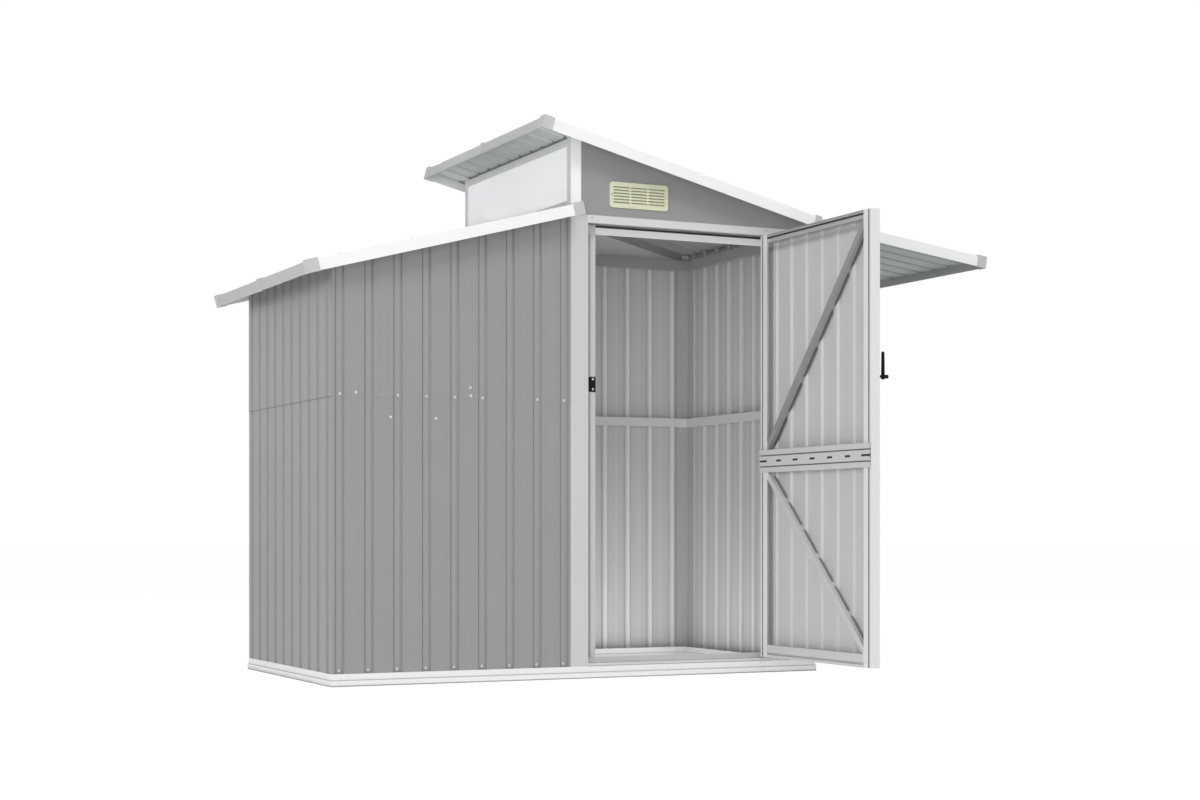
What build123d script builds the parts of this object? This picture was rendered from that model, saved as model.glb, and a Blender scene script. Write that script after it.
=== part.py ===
from build123d import *
from math import atan2, cos, radians, sin, tan
import os

os.makedirs("parts", exist_ok=True)

# Metal storage shed in millimetres. X runs right along the front, Y to the back, Z up.
# The origin is the middle of the wall footprint, on the ground. The door stands open.

# Depth and base track
wall_depth = 1066.0
base_height = 45.0
base_width = 56.0
base_gauge = 1.5
base_step = 3.0
base_step_height = 22.0
anchor_radius = 5.0
anchor_inset = 180.0

# Ribbed sheets: flat pans with grooves pressed in from outside
sheet_gauge = 1.2
rib_depth = 8.0
rib_mouth = 32.0
rib_floor = 20.0
front_rib_pitch = 109.7
room_rib_shift = 27.0
side_rib_pitch = 106.0
seam_height = 1032.0
seam_lap = 24.0

# Frame inside the walls
post_leg = 55.0
post_gauge = 2.0
rail_gauge = 1.5
mid_rail_height = 37.0
mid_rail_depth = 15.0
top_rail_height = 45.0
top_rail_depth = 20.0
rafter_leg = 30.0

# Front, from left to right: ribbed bay, plain column, doorway, plain column, ribbed strip
bay_width = 937.0
column_width = 71.0
column_depth = 30.0
opening_width = 790.0
strip_width = 133.5
frame_gauge = 1.5
stop_width = 53.5
hinge_lip = 9.0
header_lip = 12.0
stop_bar_height = 27.0
stop_bar_drop = 8.0
stop_bar_flange = 15.0
sill_rise = 11.0
sill_stop = 19.0
header_height = 35.0
gable_lap = 5.0

# Door leaf, stored open
door_open_angle = 90.0
door_thickness = 38.0
door_gap = 6.0
door_bottom_gap = 6.5
stop_gap = 12.0
stile_width = 48.0
top_door_rail = 32.0
low_door_rail = 48.0
bead_inset = 10.0
bead_width = 8.0
bead_depth = 11.0
panel_margin = 30.0
mid_bar_height = 88.0
mid_bar_level = 825.0
mid_bar_stand = 6.0
mid_bar_lip = 20.0
mid_bar_groove = 5.0
mid_bar_slots = 7
slot_length = 38.0
end_slot_length = 66.0
slot_height = 8.0
brace_width = 24.0
brace_gauge = 2.0
brace_lap = 10.0

# Hinges and handle
hinge_count = 3
knuckle_count = 3
hinge_height = 76.0
hinge_plate = 30.0
hinge_gauge = 2.0
hinge_end = 150.0
knuckle_radius = 5.0
hinge_stand = 6.0
pin_radius = 2.5
running_gap = 0.08
knuckle_gap = 0.5
handle_inset = 32.0
handle_level = 1109.0
rose_radius = 15.0
rose_height = 5.0
rose_round = 1.7
spindle_radius = 5.0
lever_stand = 34.0
lever_up = 90.0
lever_down = 11.0
lever_width = 13.0
lever_tip_width = 9.0
lever_gauge = 8.0
knob_radius = 7.0
knob_length = 20.0
strike_width = 29.0
strike_height = 57.0
strike_gauge = 2.0

# Roofs: a low one falling to the left, a high one falling to the right, and a flatter canopy past it
low_pitch = 14.7
low_joint_rise = 22.5
left_overhang = 113.0
low_end_lap = 10.0
ridge_height = 2081.0
ridge_rise = 333.0
high_pitch = 14.0
canopy_pitch = 8.0
high_overhang = 141.0
canopy_reach = 768.0
canopy_joint = 35.0
gable_overhang = 76.0
trim_height = 42.0
trim_flange = 30.0
trim_gauge = 1.5
trim_joint_gap = 1.0
cap_length = 40.0
cap_gauge = 3.0
cap_rise = 5.0
cap_drop = 2.0
joint_cap_length = 26.0
flashing_leg = 25.0

# Clerestory between the two roofs
clerestory_post_width = 43.0
clerestory_post_depth = 35.0
clerestory_rail = 30.0
clerestory_rail_height = 28.0
window_gauge = 4.0
window_lap = 14.0

# Gable vent
vent_inset = 118.0
vent_rise = 29.0
vent_width = 247.0
vent_height = 97.0
vent_gauge = 5.0
vent_corner = 12.0
vent_margin = 14.0
vent_columns = 3
vent_rows = 6
vent_slot_height = 6.0
vent_bar = 5.0

overrun = 20.0

# Layers of a wall, measured inward from the outer face of the base track
lower_face = base_step + base_gauge
upper_face = lower_face - sheet_gauge
inner_face = lower_face + sheet_gauge
frame_face = inner_face + rib_depth
rail_face = frame_face + post_gauge
stop_face = lower_face + door_thickness + stop_gap
stop_back = stop_face + frame_gauge

# Places along the front, measured from the left corner
opening_left = bay_width + column_width + frame_gauge
opening_right = opening_left + opening_width
hinge_column_left = opening_right + frame_gauge
strip_left = hinge_column_left + column_width
wall_length = strip_left + strip_width + lower_face
post_right = bay_width + clerestory_post_width
vent_left = post_right + vent_inset

# Heights, hung from the ridge
header_top = ridge_height - ridge_rise
header_bottom = header_top - header_height
low_joint_height = header_top + low_joint_rise
eave_height = low_joint_height - (left_overhang + bay_width) * tan(radians(low_pitch))
vent_bottom = header_top + vent_rise
gable_bottom = header_top - gable_lap
sill_top = base_height + sill_rise
door_bottom = sill_top + door_bottom_gap
door_top = header_bottom - door_gap
door_height = door_top - door_bottom
door_width = opening_width - 2 * door_gap
seam_top = seam_height + seam_lap


# Each wall has a plane at its left-hand corner seen from inside the track:
# local x runs along the wall, local y inward, local z up
front = Plane(origin=(-wall_length / 2, -wall_depth / 2, 0), x_dir=(1, 0, 0), z_dir=(0, 0, 1))
right = Plane(origin=(wall_length / 2, -wall_depth / 2, 0), x_dir=(0, 1, 0), z_dir=(0, 0, 1))
back = Plane(origin=(wall_length / 2, wall_depth / 2, 0), x_dir=(-1, 0, 0), z_dir=(0, 0, 1))
left = Plane(origin=(-wall_length / 2, wall_depth / 2, 0), x_dir=(0, -1, 0), z_dir=(0, 0, 1))

# Roof planes lie on the top of the trims, local x down the high roof and up the low one
low_roof = Plane(
    origin=(-wall_length / 2 - left_overhang, 0, eave_height),
    x_dir=(cos(radians(low_pitch)), 0, sin(radians(low_pitch))),
    z_dir=(-sin(radians(low_pitch)), 0, cos(radians(low_pitch))),
)
high_roof = Plane(
    origin=(-wall_length / 2 + bay_width - high_overhang, 0, ridge_height),
    x_dir=(cos(radians(high_pitch)), 0, -sin(radians(high_pitch))),
    z_dir=(sin(radians(high_pitch)), 0, cos(radians(high_pitch))),
)
roof_half = wall_depth / 2 + gable_overhang
low_run = (left_overhang + bay_width + low_end_lap) / cos(radians(low_pitch))
high_run = (wall_length + high_overhang - bay_width - canopy_joint) / cos(radians(high_pitch))
canopy_run = (canopy_joint + canopy_reach) / cos(radians(canopy_pitch))
canopy_roof = Plane(
    origin=high_roof.from_local_coords((high_run, 0, 0)),
    x_dir=(cos(radians(canopy_pitch)), 0, -sin(radians(canopy_pitch))),
    z_dir=(sin(radians(canopy_pitch)), 0, cos(radians(canopy_pitch))),
)
canopy_line = Plane.YZ.offset(wall_length / 2 - canopy_joint)
skin_depth = trim_gauge + rib_depth + sheet_gauge
low_under = low_roof.offset(-skin_depth)
high_under = high_roof.offset(-skin_depth)
canopy_under = canopy_roof.offset(-skin_depth)

# The leaf hangs from its hinge axis: local x to the free edge, local y outward, local z up
swing = radians(door_open_angle)
hinge_axis = front.from_local_coords((opening_right - door_gap / 2, lower_face - hinge_stand, 0))
leaf = Plane(origin=hinge_axis, x_dir=(-cos(swing), -sin(swing), 0), z_dir=(0, 0, 1))
leaf_near = door_gap / 2
leaf_far = leaf_near + door_width
leaf_out = -hinge_stand
leaf_in = leaf_out - door_thickness


def upright(frame, along, inset, height=0):
    """Plane for what stands up: x along the wall, y inward, z up."""
    return Plane(frame.from_local_coords((along, inset, height)), x_dir=frame.x_dir, z_dir=frame.z_dir)


def lengthwise(frame, along, inset=0, height=0):
    """Plane for what runs along the wall: x inward, y up, z along."""
    return Plane(frame.from_local_coords((along, inset, height)), x_dir=frame.y_dir, z_dir=frame.x_dir)


def down_slope(roof, run, across=0, drop=0):
    """Plane for what runs along a roof's slope: x to the back, y off the roof, z along the slope."""
    return Plane(roof.from_local_coords((run, across, -drop)), x_dir=roof.y_dir, z_dir=roof.x_dir)


def across_roof(roof, across):
    """Plane for what runs over a roof from back to front: x along the slope, y off the roof."""
    return Plane(roof.from_local_coords((0, across, 0)), x_dir=roof.x_dir, z_dir=-roof.y_dir)


def thickened(outline, gauge):
    """Closed outline of a formed strip: gauge to the left of an open one, to its right if negative."""
    points = [Vector(*point) for point in outline]
    normals = [(b - a).normalized().rotate(Axis.Z, 90) for a, b in zip(points, points[1:])]
    other = [points[0] + normals[0] * gauge]
    for point, before, after in zip(points[1:-1], normals, normals[1:]):
        other.append(point + (before + after) * (gauge / (1 + before.dot(after))))
    other.append(points[-1] + normals[-1] * gauge)
    return points + other[::-1]


def strip(plane, outline, gauge, length):
    """Adds a formed strip: a thickened outline run along the plane's normal."""
    with BuildSketch(plane) as section:
        with BuildLine():
            Polyline(*thickened(outline, gauge), close=True)
        make_face()
    extrude(section.sketch, amount=length)


def ribbed(plane, width, length, pitch, margin=0, shift=0):
    """Adds a ribbed sheet: as many ribs as fit between the margins, centred and shifted, along the normal."""
    count = 1 + int((width - 2 * margin - rib_mouth) / pitch)
    first = (width - (count - 1) * pitch) / 2 + shift
    face = [(0, 0)]
    for number in range(count):
        middle = first + number * pitch
        face += [(middle - rib_mouth / 2, 0), (middle - rib_floor / 2, rib_depth)]
        face += [(middle + rib_floor / 2, rib_depth), (middle + rib_mouth / 2, 0)]
    face.append((width, 0))
    reverse = [(along, depth + sheet_gauge) for along, depth in reversed(face)]
    with BuildSketch(plane) as section:
        with BuildLine():
            Polyline(*face, *reverse, close=True)
        make_face()
    extrude(section.sketch, amount=length)


def block(plane, low, high, height, mode=Mode.ADD):
    """Adds or cuts a block between two corners of the plane, risen along its normal."""
    with BuildSketch(plane) as section:
        with Locations(((low[0] + high[0]) / 2, (low[1] + high[1]) / 2)):
            Rectangle(high[0] - low[0], high[1] - low[1])
    extrude(section.sketch, amount=height, mode=mode)


def save(name, piece):
    """Labels a finished piece and writes it as its own node."""
    piece.part.label = name
    export_step(piece.part, f"parts/{name}.step")


# Base track: a formed channel with a stepped outer face, mitred at the corners
def base_rail(frame, length):
    outline = [
        (base_step, base_height),
        (base_step, base_step_height),
        (0, base_step_height),
        (0, 0),
        (base_width, 0),
        (base_width, base_height),
    ]
    strip(lengthwise(frame, 0), outline, base_gauge, length)


def mitre(frame, length):
    """Cuts both ends of the rail just made to forty-five degrees."""
    near = Plane(frame.origin, x_dir=(0, 0, 1), z_dir=frame.x_dir - frame.y_dir)
    far_corner = frame.from_local_coords((length, 0, 0))
    far = Plane(far_corner, x_dir=(0, 0, 1), z_dir=-frame.x_dir - frame.y_dir)
    split(bisect_by=near, keep=Keep.TOP)
    split(bisect_by=far, keep=Keep.TOP)


for name, frame, length in (
    ("base_rail_front", front, wall_length),
    ("base_rail_back", back, wall_length),
    ("base_rail_left", left, wall_depth),
    ("base_rail_right", right, wall_depth),
):
    with BuildPart() as rail:
        base_rail(frame, length)
        mitre(frame, length)
        if length == wall_length:
            with BuildSketch(upright(frame, 0, 0)) as anchors:
                with Locations((anchor_inset, base_width / 2), (length - anchor_inset, base_width / 2)):
                    Circle(anchor_radius)
            extrude(anchors.sketch, amount=base_gauge, mode=Mode.SUBTRACT)
    save(name, rail)

with BuildPart() as door_sill:
    strip(
        lengthwise(front, bay_width + column_width),
        [
            (base_step, base_height),
            (base_step, sill_top),
            (stop_back, sill_top),
            (stop_back, sill_top + sill_stop),
        ],
        -frame_gauge,
        opening_width + 2 * frame_gauge,
    )
save("door_sill", door_sill)


# Walls: a lower sheet in the track, and an upper one lapped over its top
def lower_sheet(frame, start, end, pitch, shift=0):
    foot = upright(frame, start, lower_face, base_gauge)
    ribbed(foot, end - start, seam_top - base_gauge, pitch, shift=shift)


def upper_sheet(frame, start, end, pitch, top, shift=0):
    foot = upright(frame, start, upper_face, seam_height)
    ribbed(foot, end - start, top - seam_height, pitch, shift=shift)


bay_span = (lower_face, bay_width)
back_bay_span = (wall_length - bay_width, wall_length - lower_face)
back_room_span = (lower_face, wall_length - bay_width - column_width)
side_lower_span = (inner_face, wall_depth - inner_face)
side_upper_span = (lower_face, wall_depth - lower_face)

with BuildPart() as front_wall_lower:
    lower_sheet(front, *bay_span, front_rib_pitch)
save("front_wall_lower", front_wall_lower)

with BuildPart() as front_wall_upper:
    upper_sheet(front, *bay_span, front_rib_pitch, ridge_height)
    split(bisect_by=low_under, keep=Keep.BOTTOM)
save("front_wall_upper", front_wall_upper)

with BuildPart() as front_strip:
    foot = upright(front, strip_left, lower_face, base_gauge)
    ribbed(foot, strip_width, header_bottom - base_gauge, front_rib_pitch)
save("front_strip", front_strip)

with BuildPart() as left_wall_lower:
    lower_sheet(left, *side_lower_span, side_rib_pitch)
save("left_wall_lower", left_wall_lower)

with BuildPart() as left_wall_upper:
    upper_sheet(left, *side_upper_span, side_rib_pitch, ridge_height)
    split(bisect_by=low_under, keep=Keep.BOTTOM)
save("left_wall_upper", left_wall_upper)

with BuildPart() as right_wall_lower:
    lower_sheet(right, *side_lower_span, side_rib_pitch)
save("right_wall_lower", right_wall_lower)

with BuildPart() as right_wall_upper:
    upper_sheet(right, *side_upper_span, side_rib_pitch, ridge_height)
    split(bisect_by=canopy_under, keep=Keep.BOTTOM)
save("right_wall_upper", right_wall_upper)

with BuildPart() as back_wall_lower:
    lower_sheet(back, *back_bay_span, front_rib_pitch)
    lower_sheet(back, *back_room_span, front_rib_pitch, room_rib_shift)
save("back_wall_lower", back_wall_lower)

with BuildPart() as back_wall_upper:
    upper_sheet(back, *back_bay_span, front_rib_pitch, ridge_height)
    split(bisect_by=low_under, keep=Keep.BOTTOM)
    upper_sheet(back, *back_room_span, front_rib_pitch, gable_bottom, room_rib_shift)
save("back_wall_upper", back_wall_upper)


# Plain columns: beside the doorway, and behind them on the back wall
def column(frame, start, top):
    outline = [
        (0, column_depth),
        (0, 0),
        (column_width, 0),
        (column_width, column_depth),
    ]
    foot = upright(frame, start, lower_face, base_gauge)
    strip(foot, outline, frame_gauge, top - base_gauge)


with BuildPart() as front_columns:
    column(front, bay_width, header_top)
    column(front, hinge_column_left, header_bottom)
save("front_columns", front_columns)

with BuildPart() as back_column:
    column(back, wall_length - bay_width - column_width, header_top)
save("back_column", back_column)


# Frame behind the sheets: corner angles, rails at the seam, rails and rafters at the top
low_post_top = eave_height - top_rail_height
with BuildPart() as corner_posts:
    angle = [(post_leg, 0), (0, 0), (0, post_leg)]
    for frame, top in ((front, low_post_top), (right, header_bottom), (back, gable_bottom), (left, low_post_top)):
        foot = upright(frame, frame_face, frame_face, base_gauge)
        strip(foot, angle, -post_gauge, top - base_gauge)
save("corner_posts", corner_posts)


def rail(frame, start, end, bottom, height, depth):
    outline = [(0, 0), (depth, 0), (depth, height), (0, height)]
    strip(lengthwise(frame, start, rail_face, bottom), outline, rail_gauge, end - start)


mid_rail_bottom = seam_height - mid_rail_height / 2
mid_rail_face = rail_face + mid_rail_depth
with BuildPart() as long_mid_rails:
    sizes = (mid_rail_bottom, mid_rail_height, mid_rail_depth)
    rail(front, rail_face, bay_width, *sizes)
    rail(back, wall_length - bay_width, wall_length - rail_face, *sizes)
    rail(back, rail_face, wall_length - bay_width - column_width, *sizes)
save("long_mid_rails", long_mid_rails)

with BuildPart() as side_mid_rails:
    rail(left, mid_rail_face, wall_depth - mid_rail_face, *sizes)
    rail(right, rail_face, wall_depth - mid_rail_face, *sizes)
save("side_mid_rails", side_mid_rails)

with BuildPart() as back_top_rail:
    top_sizes = (header_top - top_rail_height, top_rail_height, top_rail_depth)
    rail(back, rail_face, wall_length - bay_width - column_width, *top_sizes)
save("back_top_rail", back_top_rail)

with BuildPart() as side_top_rails:
    rail(left, rail_face, wall_depth - rail_face, low_post_top, trim_height + top_rail_height, top_rail_depth)
    split(bisect_by=low_under, keep=Keep.BOTTOM)
    rail(right, lower_face + column_depth, wall_depth - rail_face - top_rail_depth, *top_sizes)
save("side_top_rails", side_top_rails)


def rafter(roof, inset, start, end, sign):
    """Adds an angle under a roof's sheet, along the front wall for sign -1 and the back one for 1."""
    reach = wall_depth / 2 - inset
    outline = [
        (sign * (reach - rafter_leg), 0),
        (sign * reach, 0),
        (sign * reach, -rafter_leg),
    ]
    strip(down_slope(roof, start, 0, skin_depth), outline, -sign * rail_gauge, end - start)


def trim_upright(low, high):
    """Keeps what lies between two places along the front."""
    split(bisect_by=Plane.YZ.offset(low - wall_length / 2), keep=Keep.TOP)
    split(bisect_by=Plane.YZ.offset(high - wall_length / 2), keep=Keep.BOTTOM)


with BuildPart() as low_rafters:
    for sign in (-1, 1):
        rafter(low_roof, lower_face + rib_depth, 0, low_run, sign)
    trim_upright(rail_face + top_rail_depth, bay_width)
save("low_rafters", low_rafters)

with BuildPart() as high_rafters:
    for sign in (-1, 1):
        rafter(high_roof, lower_face, 0, high_run, sign)
    trim_upright(post_right, wall_length - frame_face)
    split(bisect_by=Plane.XY.offset(header_top), keep=Keep.TOP)
save("high_rafters", high_rafters)

# Doorway: header, stop bar below it, jambs with the stop flange behind the leaf, and the strike plate
with BuildPart() as door_header:
    header_start = bay_width + column_width
    strip(
        lengthwise(front, header_start),
        [
            (lower_face + header_lip, header_bottom),
            (lower_face, header_bottom),
            (lower_face, header_top),
            (lower_face + column_depth, header_top),
        ],
        -frame_gauge,
        wall_length - inner_face - header_start,
    )
    stop_bar_top = header_bottom - stop_bar_drop
    strip(
        lengthwise(front, header_start),
        [
            (stop_back, stop_bar_top - stop_bar_height),
            (stop_back, stop_bar_top),
            (stop_back + stop_bar_flange, stop_bar_top),
            (stop_back + stop_bar_flange, header_top - frame_gauge),
        ],
        -frame_gauge,
        hinge_column_left - header_start,
    )
save("door_header", door_header)

with BuildPart() as door_jambs:
    jamb_height = header_bottom - sill_top
    foot = upright(front, 0, 0, sill_top)
    strike_side = opening_left - frame_gauge
    strike_jamb = [
        (strike_side, lower_face),
        (strike_side, stop_back),
        (opening_left + stop_width, stop_back),
    ]
    strip(foot, strike_jamb, -frame_gauge, jamb_height)
    hinge_jamb = [
        (hinge_column_left, lower_face),
        (hinge_column_left, stop_back),
        (opening_right - hinge_lip, stop_back),
    ]
    strip(foot, hinge_jamb, frame_gauge, jamb_height)
save("door_jambs", door_jambs)

with BuildPart() as strike_plate:
    plate = upright(front, opening_left + stop_width - strike_width, stop_face - strike_gauge)
    block(
        plate.offset(handle_level - strike_height / 2),
        (0, 0),
        (strike_width, strike_gauge),
        strike_height,
    )
save("strike_plate", strike_plate)


# Gables over the doorway and over the back wall, and the vent in the front one
def gable(frame, start, end):
    span = upright(frame, start, upper_face, gable_bottom)
    block(span, (0, 0), (end - start, sheet_gauge), ridge_height - gable_bottom)
    split(bisect_by=high_under, keep=Keep.BOTTOM)


with BuildPart() as front_gable:
    gable(front, post_right, wall_length - upper_face)
    block(
        upright(front, vent_left, upper_face, vent_bottom),
        (vent_margin, -overrun),
        (vent_width - vent_margin, overrun),
        vent_height - vent_margin,
        Mode.SUBTRACT,
    )
save("front_gable", front_gable)

with BuildPart() as back_gable:
    gable(back, upper_face, wall_length - post_right)
save("back_gable", back_gable)

with BuildPart() as gable_vent:
    vent_middle = (vent_left + vent_width / 2, upper_face, vent_bottom + vent_height / 2)
    vent_plane = Plane(front.from_local_coords(vent_middle), x_dir=(1, 0, 0), z_dir=(0, -1, 0))
    with BuildSketch(vent_plane) as vent_face:
        RectangleRounded(vent_width, vent_height, vent_corner)
    extrude(vent_face.sketch, amount=vent_gauge)
    field_width = vent_width - 2 * vent_margin
    field_height = vent_height - 2 * vent_margin
    slot_pitch = (field_width + vent_bar) / vent_columns
    row_pitch = field_height / vent_rows
    with BuildSketch(vent_plane) as louvres:
        with GridLocations(slot_pitch, row_pitch, vent_columns, vent_rows):
            SlotOverall(slot_pitch - vent_bar, vent_slot_height)
    extrude(louvres.sketch, amount=vent_gauge, mode=Mode.SUBTRACT)
save("gable_vent", gable_vent)

# Clerestory: posts on the columns, rails between them and a translucent panel behind the rails
with BuildPart() as clerestory_posts:
    for frame, start in ((front, bay_width), (back, wall_length - post_right)):
        outline = [
            (0, clerestory_post_depth),
            (0, 0),
            (clerestory_post_width, 0),
            (clerestory_post_width, clerestory_post_depth),
        ]
        foot = upright(frame, start, lower_face, header_top)
        strip(foot, outline, frame_gauge, ridge_height - header_top)
    split(bisect_by=high_under, keep=Keep.BOTTOM)
save("clerestory_posts", clerestory_posts)

rail_start = lower_face + clerestory_post_depth
rail_length = wall_depth - 2 * rail_start
flat_top = ridge_height - (high_overhang + clerestory_rail) * tan(radians(high_pitch))
upper_rail_top = flat_top - skin_depth / cos(radians(high_pitch))
upper_rail_bottom = upper_rail_top - clerestory_rail_height
lower_rail_top = header_top + clerestory_rail_height
with BuildPart() as clerestory_rails:
    run = lengthwise(left, rail_start, bay_width)
    strip(
        run,
        [(clerestory_rail, header_top), (0, header_top), (0, lower_rail_top)],
        -frame_gauge,
        rail_length,
    )
    strip(
        run,
        [(0, upper_rail_bottom), (0, upper_rail_top), (clerestory_rail, upper_rail_top)],
        -frame_gauge,
        rail_length,
    )
save("clerestory_rails", clerestory_rails)

with BuildPart() as clerestory_window:
    block(
        lengthwise(left, rail_start, bay_width),
        (frame_gauge, lower_rail_top - window_lap),
        (frame_gauge + window_gauge, upper_rail_bottom + window_lap),
        rail_length,
    )
save("clerestory_window", clerestory_window)


# Roof edges: angle trims with plastic caps over the corners and joints
def side_trim(roof, start, end, sign):
    """Adds the trim along a roof's slope, at the front for sign -1 and at the back for 1."""
    outline = [
        (sign * (roof_half - trim_flange), 0),
        (sign * roof_half, 0),
        (sign * roof_half, -trim_height),
    ]
    strip(down_slope(roof, start), outline, -sign * trim_gauge, end - start)


def end_trim(roof, run, sign):
    """Adds the trim across a roof's end, at the slope's start for sign -1 and at its end for 1."""
    outline = [(run - sign * trim_flange, 0), (run, 0), (run, -trim_height)]
    reach = roof_half - trim_flange
    strip(across_roof(roof, reach), outline, -sign * trim_gauge, 2 * reach)


def corner_cap(roof, run, sign_run, sign_across):
    """Adds a cap over the outside of two trims and their top flanges where they meet."""
    centre = (cap_length - cap_gauge) / 2
    size = cap_length + cap_gauge
    middle = (run - sign_run * centre, sign_across * (roof_half - centre))
    inner = (run - sign_run * cap_length, sign_across * (roof_half - cap_length))
    with BuildSketch(roof.offset(cap_rise)) as shell:
        with Locations(middle):
            Rectangle(size, size)
    extrude(shell.sketch, amount=-(trim_height + cap_rise + cap_drop))
    with BuildSketch(roof) as hollow:
        with Locations(inner):
            Rectangle(2 * cap_length, 2 * cap_length)
    extrude(hollow.sketch, amount=-(trim_height + overrun), mode=Mode.SUBTRACT)


def cap_outline(edge, sign):
    """Section of a cap over a trim's joint: round its top flange and its outer face."""
    inner = edge - sign * trim_flange
    outer = edge + sign * cap_gauge
    return [
        (inner, 0),
        (edge, 0),
        (edge, -trim_height - cap_drop),
        (outer, -trim_height - cap_drop),
        (outer, cap_rise),
        (inner, cap_rise),
    ]


def joint_cap(plane, edge, sign):
    """Adds a joint cap, run along the plane's normal."""
    with BuildSketch(plane) as section:
        with BuildLine():
            Polyline(*cap_outline(edge, sign), close=True)
        make_face()
    extrude(section.sketch, amount=joint_cap_length)


def side_joint_cap(roof, run, sign):
    joint_cap(down_slope(roof, run - joint_cap_length / 2), sign * roof_half, sign)


def end_joint_cap(roof, run, sign):
    joint_cap(across_roof(roof, joint_cap_length / 2), run, sign)


def roof_sheet(roof, start, end):
    origin = down_slope(roof, start, trim_gauge - roof_half, skin_depth)
    ribbed(origin, 2 * (roof_half - trim_gauge), end - start, side_rib_pitch)


with BuildPart() as low_roof_sheet:
    roof_sheet(low_roof, trim_gauge, low_run)
    split(bisect_by=Plane.YZ.offset(bay_width - wall_length / 2), keep=Keep.BOTTOM)
save("low_roof_sheet", low_roof_sheet)

with BuildPart() as low_side_trims:
    for sign in (-1, 1):
        side_trim(low_roof, 0, low_run, sign)
save("low_side_trims", low_side_trims)

with BuildPart() as low_end_trims:
    end_trim(low_roof, 0, -1)
    seat = low_joint_height - trim_gauge / cos(radians(low_pitch))
    strip(
        lengthwise(left, rail_start, bay_width),
        [
            (0, seat + flashing_leg),
            (0, seat),
            (-flashing_leg, seat - flashing_leg * tan(radians(low_pitch))),
        ],
        -trim_gauge,
        rail_length,
    )
save("low_end_trims", low_end_trims)

with BuildPart() as high_roof_sheet:
    roof_sheet(high_roof, trim_gauge, high_run + overrun)
    split(bisect_by=canopy_line, keep=Keep.BOTTOM)
save("high_roof_sheet", high_roof_sheet)

with BuildPart() as canopy_sheet:
    roof_sheet(canopy_roof, -overrun, canopy_run - trim_gauge)
    split(bisect_by=canopy_line, keep=Keep.TOP)
save("canopy_sheet", canopy_sheet)

with BuildPart() as canopy_trims:
    for sign in (-1, 1):
        side_trim(canopy_roof, -overrun, canopy_run, sign)
    split(bisect_by=canopy_line.offset(trim_joint_gap), keep=Keep.TOP)

with BuildPart() as high_side_trims:
    for sign in (-1, 1):
        side_trim(high_roof, 0, high_run + overrun, sign)
    split(bisect_by=canopy_line, keep=Keep.BOTTOM)
    add(canopy_trims.part)
save("high_side_trims", high_side_trims)

with BuildPart() as high_end_trims:
    end_trim(high_roof, 0, -1)
    end_trim(canopy_roof, canopy_run, 1)
save("high_end_trims", high_end_trims)

# Each cap at the canopy joint is two halves that meet where the pitch changes
with BuildPart() as uphill_halves:
    for sign in (-1, 1):
        side_joint_cap(high_roof, high_run, sign)
    split(bisect_by=canopy_line, keep=Keep.BOTTOM)

with BuildPart() as roof_caps:
    for sign in (-1, 1):
        side_joint_cap(canopy_roof, 0, sign)
    split(bisect_by=canopy_line, keep=Keep.TOP)
    add(uphill_halves.part)
    for sign in (-1, 1):
        corner_cap(low_roof, 0, -1, sign)
        corner_cap(low_roof, low_run, 1, sign)
        corner_cap(high_roof, 0, -1, sign)
        corner_cap(canopy_roof, canopy_run, 1, sign)
    end_joint_cap(low_roof, 0, -1)
    end_joint_cap(high_roof, 0, -1)
save("roof_caps", roof_caps)


# Door leaf: a frame of formed stiles and rails round two ribbed panels
def leaf_section(outline, near):
    """Turns (from the edge, in from the outer face) points into leaf coordinates."""
    sign = 1 if near else -1
    edge = leaf_near if near else leaf_far
    return [(edge + sign * across, leaf_out - depth) for across, depth in outline]


panel_crest = frame_gauge + rib_depth + sheet_gauge


def frame_outline(width):
    """Formed leaf edge: outer flange, edge web and inner flange with a bead, open towards the panel."""
    return [
        (width, 0),
        (0, 0),
        (0, door_thickness),
        (bead_inset, door_thickness),
        (bead_inset, door_thickness - bead_depth),
        (bead_inset + bead_width, door_thickness - bead_depth),
        (bead_inset + bead_width, door_thickness),
        (width, door_thickness),
    ]


with BuildPart() as door_stiles:
    foot = leaf.offset(door_bottom)
    strip(foot, leaf_section(frame_outline(stile_width), True), frame_gauge, door_height)
    strip(foot, leaf_section(frame_outline(stile_width), False), -frame_gauge, door_height)
save("door_stiles", door_stiles)

frame_near = leaf_near + stile_width
frame_far = leaf_far - stile_width
with BuildPart() as door_rails:
    run = Plane(leaf.from_local_coords((frame_near, 0, 0)), x_dir=leaf.y_dir, z_dir=leaf.x_dir)
    bottom = [(leaf_out - depth, door_bottom + rise) for rise, depth in frame_outline(low_door_rail)]
    top = [(leaf_out - depth, door_top - drop) for drop, depth in frame_outline(top_door_rail)]
    strip(run, bottom, -frame_gauge, frame_far - frame_near)
    strip(run, top, frame_gauge, frame_far - frame_near)
save("door_rails", door_rails)

panel_width = door_width - 2 * frame_gauge
panel_plane = Plane(
    leaf.from_local_coords((leaf_far - frame_gauge, leaf_out - frame_gauge, 0)),
    x_dir=-leaf.x_dir,
    z_dir=leaf.z_dir,
)
with BuildPart() as door_panel:
    ribbed(
        panel_plane.offset(door_bottom + frame_gauge),
        panel_width,
        door_height - 2 * frame_gauge,
        front_rib_pitch,
        panel_margin,
    )
save("door_panel", door_panel)

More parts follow.
